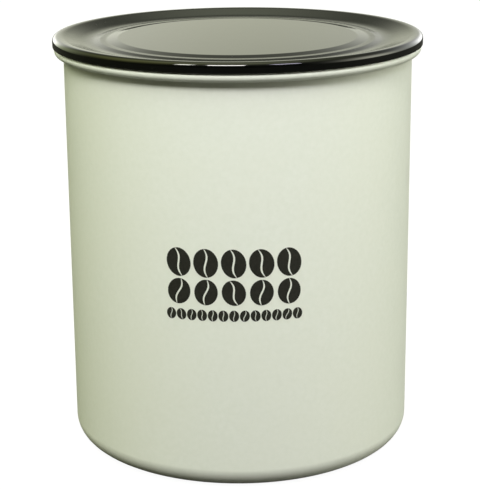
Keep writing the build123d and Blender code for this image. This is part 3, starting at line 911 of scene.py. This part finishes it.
def make_screws():
    """Slotted pan-head screws, copied to the brackets' and the clamp ring's screw places."""
    shank, head, head_height, pitch, thread = 1.1, 2.4, 1.5, 0.7, 0.18
    slot_width, slot_depth = 0.6, 0.75
    bracket_x, bracket_y, foot_thickness = 21, 3.8, 1.5
    clamp_circle, clamp_count, clamp_start = 71, 6, 15
    bracket_places = []
    for x in (-bracket_x, bracket_x):
        for y in (-bracket_y, bracket_y):
            bracket_places.append((x, y, DECK_Z + foot_thickness))
    clamp_places = []
    for screw in range(clamp_count):
        angle = radians(clamp_start + 360 / clamp_count * screw)
        x, y = clamp_circle * cos(angle), clamp_circle * sin(angle)
        clamp_places.append((x, y, low("gasket_clamp_ring").z))
    kinds = (
        ("bracket_screws", bracket_places, 3.1, 0.0, 4),
        ("clamp_ring_screws", clamp_places, 7.2, pi, 9),
    )
    for node, places, length, tip, seed in kinds:
        outline = [(0, head_height, 0), (head, head_height, 0.8), (head, 0, 0.15), (shank, 0, 0)]
        for ridge in range(int((length - 0.8) / pitch)):
            depth = -0.5 - ridge * pitch
            outline += [(shank, depth, 0), (shank - thread, depth - pitch / 2, 0)]
        outline += [(shank, 0.4 - length, 0), (shank - 0.4, -length, 0), (0, -length, 0)]
        plain = turn(node + "_blank", rounded(outline), STEEL, closed=False, segments=40)
        values = {
            "Slot": (3 * head * MM, slot_width * MM, 2 * slot_depth * MM),
            "Place": (0.0, 0.0, head_height * MM),
            "Material": STEEL,
        }
        screw = grow(node + "_one", plain.data, SLOTTED, values)
        points = bpy.data.meshes.new("places")
        points.from_pydata([tuple(Vector(place) * MM) for place in places], [], [])
        values = {"Part": screw, "Tip": tip, "Seed": seed, "Material": STEEL}
        screws = grow(node + "_set", points, COPIES, values)
        for spare in (plain, screw):
            bpy.data.objects.remove(spare)
        mark_edges(clean(screws.data))
        install(screws, "plunger", "stainless_steel", node)


def make_plunger():
    """The plunger, its handle and its valve."""
    make_soft_parts()
    make_turned_parts()
    make_screws()
    pieces = (
        ("plunger_plate", DARK_PLASTIC, "plunger", "plunger_plastic", 0.25),
        ("gasket_clamp_ring", DARK_PLASTIC, "plunger", "plunger_plastic", 0.3),
        ("pivot_bracket_left", STEEL, "plunger", "stainless_steel", 0.2),
        ("pivot_bracket_right", STEEL, "plunger", "stainless_steel", 0.2),
        ("pivot_bush_left", BEARING_PLASTIC, "plunger", "bearing_plastic", 0.15),
        ("pivot_bush_right", BEARING_PLASTIC, "plunger", "bearing_plastic", 0.15),
        ("handle_bail", STEEL, "handle", "stainless_steel", 0.4),
        ("pivot_pin", STEEL, "handle", "stainless_steel", 0.1),
        ("pin_clip", SPRING_STEEL, "handle", "spring_steel", 0.08),
        ("valve_cam", BEARING_PLASTIC, "handle", "bearing_plastic", 0.2),
        ("valve_stem", STEEL, "valve", "stainless_steel", 0.12),
        ("valve_clip", SPRING_STEEL, "valve", "spring_steel", 0.08),
    )
    for node, material, body, slot, bevel in pieces:
        refine(node, material, body, slot, bevel)
    for node, material in (("valve_spring", SPRING_STEEL), ("vent_screen", STEEL)):
        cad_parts[node].data.materials.clear()
        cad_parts[node].data.materials.append(material)


# ---- camera, floor and lights -------------------------------------------------------------------
def make_camera():
    """A slightly raised front view; the shift only frames the can as wanted."""
    data = bpy.data.cameras.new("camera")
    data.sensor_width = 36.0
    data.lens = 114.717
    data.shift_x = 0.00138
    data.shift_y = -0.0249
    data.clip_start = 0.05
    camera = bpy.data.objects.new("camera", data)
    bpy.context.scene.collection.objects.link(camera)
    pitch_down, roll = radians(15.922), radians(-0.516)
    aim = Matrix.Rotation(pi / 2 - pitch_down, 4, "X") @ Matrix.Rotation(roll, 4, "Z")
    camera.matrix_world = Matrix.Translation((0, -0.755135, 0.316919)) @ aim
    bpy.context.scene.camera = camera


def make_floor():
    """A white paper floor that glows to the camera and stays dim to the can standing on it."""
    material, tree, shader = new_material("paper_floor", Roughness=0.8)
    rays = add_node(tree, "ShaderNodeLightPath").outputs
    seen = rays["Is Camera Ray"]
    colour = blend_colour(tree, rays["Is Glossy Ray"], (0.04, 0.04, 0.035), (0.015, 0.015, 0.015))
    tree.links.new(colour, shader.inputs["Base Color"])
    tree.links.new(blend_colour(tree, seen, (0, 0, 0), (1, 1, 1)), shader.inputs["Emission Color"])
    shader.inputs["Emission Strength"].default_value = 0.96
    mesh = bpy.data.meshes.new("floor")
    work = bmesh.new()
    bmesh.ops.create_circle(work, cap_ends=True, segments=96, radius=6.0)
    work.to_mesh(mesh)
    work.free()
    floor = new_object("floor", mesh)
    floor.location = (0, 0, -0.0002)
    floor.data.materials.append(material)


def add_softbox(name, place, size, watts, colour=(1, 1, 1), target=(0, 0, 0.1)):
    """A rectangular area light aimed at the can."""
    data = bpy.data.lights.new(name, "AREA")
    data.shape = "RECTANGLE"
    data.size, data.size_y = size
    data.energy = watts
    data.color = colour
    light = bpy.data.objects.new(name, data)
    light.location = place
    light.rotation_euler = (Vector(target) - Vector(place)).to_track_quat("-Z", "Y").to_euler()
    bpy.context.scene.collection.objects.link(light)
    return light


def towards(azimuth, elevation):
    """Unit vector towards a place in the room; azimuth 0 is in front of the can, 90 to its right."""
    turn_angle, rise = radians(azimuth), radians(elevation)
    return Vector((sin(turn_angle) * cos(rise), -cos(turn_angle) * cos(rise), sin(rise)))


def make_light():
    """A dim room with soft glows round it, soft boxes above and three windows in front."""
    world = bpy.data.worlds.new("studio")
    bpy.context.scene.world = world
    world.use_nodes = True
    tree = world.node_tree
    ray = add_node(tree, "ShaderNodeTexCoord").outputs["Generated"]
    glows = (
        (90, 12, 14, (5.0, 5.0, 4.1)),
        (135, 12, 14, (1.55, 1.62, 1.50)),
        (180, 6, 45, (0.66, 0.68, 0.50)),
        (180, 44, 45, (0.75, 0.79, 0.60)),
        (155, 6, 40, (3.20, 3.20, 3.20)),
        (203, 6, 40, (3.40, 3.40, 3.20)),
        (225, 12, 14, (0.95, 1.07, 0.62)),
        (270, 48, 9, (1.15, 1.20, 0.42)),
        (0, 90, 8, (1.45, 1.55, 0.95)),
    )
    room = add_node(tree, "ShaderNodeRGB").outputs[0]
    room.default_value = (0, 0, 0, 1)
    for azimuth, elevation, sharpness, colour in glows:
        facing = add_node(
            tree, "ShaderNodeVectorMath", {0: ray, 1: towards(azimuth, elevation)}, operation="DOT_PRODUCT"
        )
        lobe = maths(tree, "POWER", maths(tree, "MAXIMUM", facing.outputs["Value"]), sharpness)
        glow = add_node(tree, "ShaderNodeVectorMath", {0: colour, "Scale": lobe}, operation="SCALE")
        both = add_node(tree, "ShaderNodeVectorMath", {0: room, 1: glow.outputs[0]}, operation="ADD")
        room = both.outputs[0]
    seen = add_node(tree, "ShaderNodeLightPath").outputs["Is Camera Ray"]
    background = tree.nodes["Background"]
    tree.links.new(blend_colour(tree, seen, room, (1.0, 1.0, 1.0)), background.inputs["Color"])
    soft_boxes = (
        ("above_front", (0.0, -0.40, 0.80), (0.60, 0.50), 1.8, (0.90, 1.0, 0.98)),
        ("above_left", (-0.5, -0.30, 0.80), (0.40, 0.50), 1.6, (0.90, 1.0, 0.85)),
        ("above_right", (0.5, -0.30, 0.80), (0.40, 0.50), 1.35, (0.90, 1.0, 0.80)),
        ("beside_right", (0.9, 0.45, 0.25), (0.50, 0.90), 1.0, (0.95, 1.0, 0.97)),
    )
    for name, place, size, watts, colour in soft_boxes:
        add_softbox(name, place, size, watts, colour).visible_glossy = False
    rim_front = Vector((0, -LID_RADIUS, CAN_TOP)) * MM
    windows = (
        ("window_left", -42, 0.20, 4.0, (1.0, 1.0, 0.90)),
        ("window_middle", -9, 0.44, 12.4, (1.0, 0.97, 0.93)),
        ("window_right", 38, 0.34, 3.4, (0.85, 0.80, 1.0)),
    )
    for name, azimuth, width, watts, colour in windows:
        place = rim_front + towards(azimuth, 48) * 1.3
        add_softbox(name, place, (width, 0.30), watts, colour)


make_can()
make_outer_lid()
make_print()
make_plunger()
make_camera()
make_floor()
make_light()

view = bpy.context.scene.view_settings
view.view_transform = "Standard"
view.look = "None"
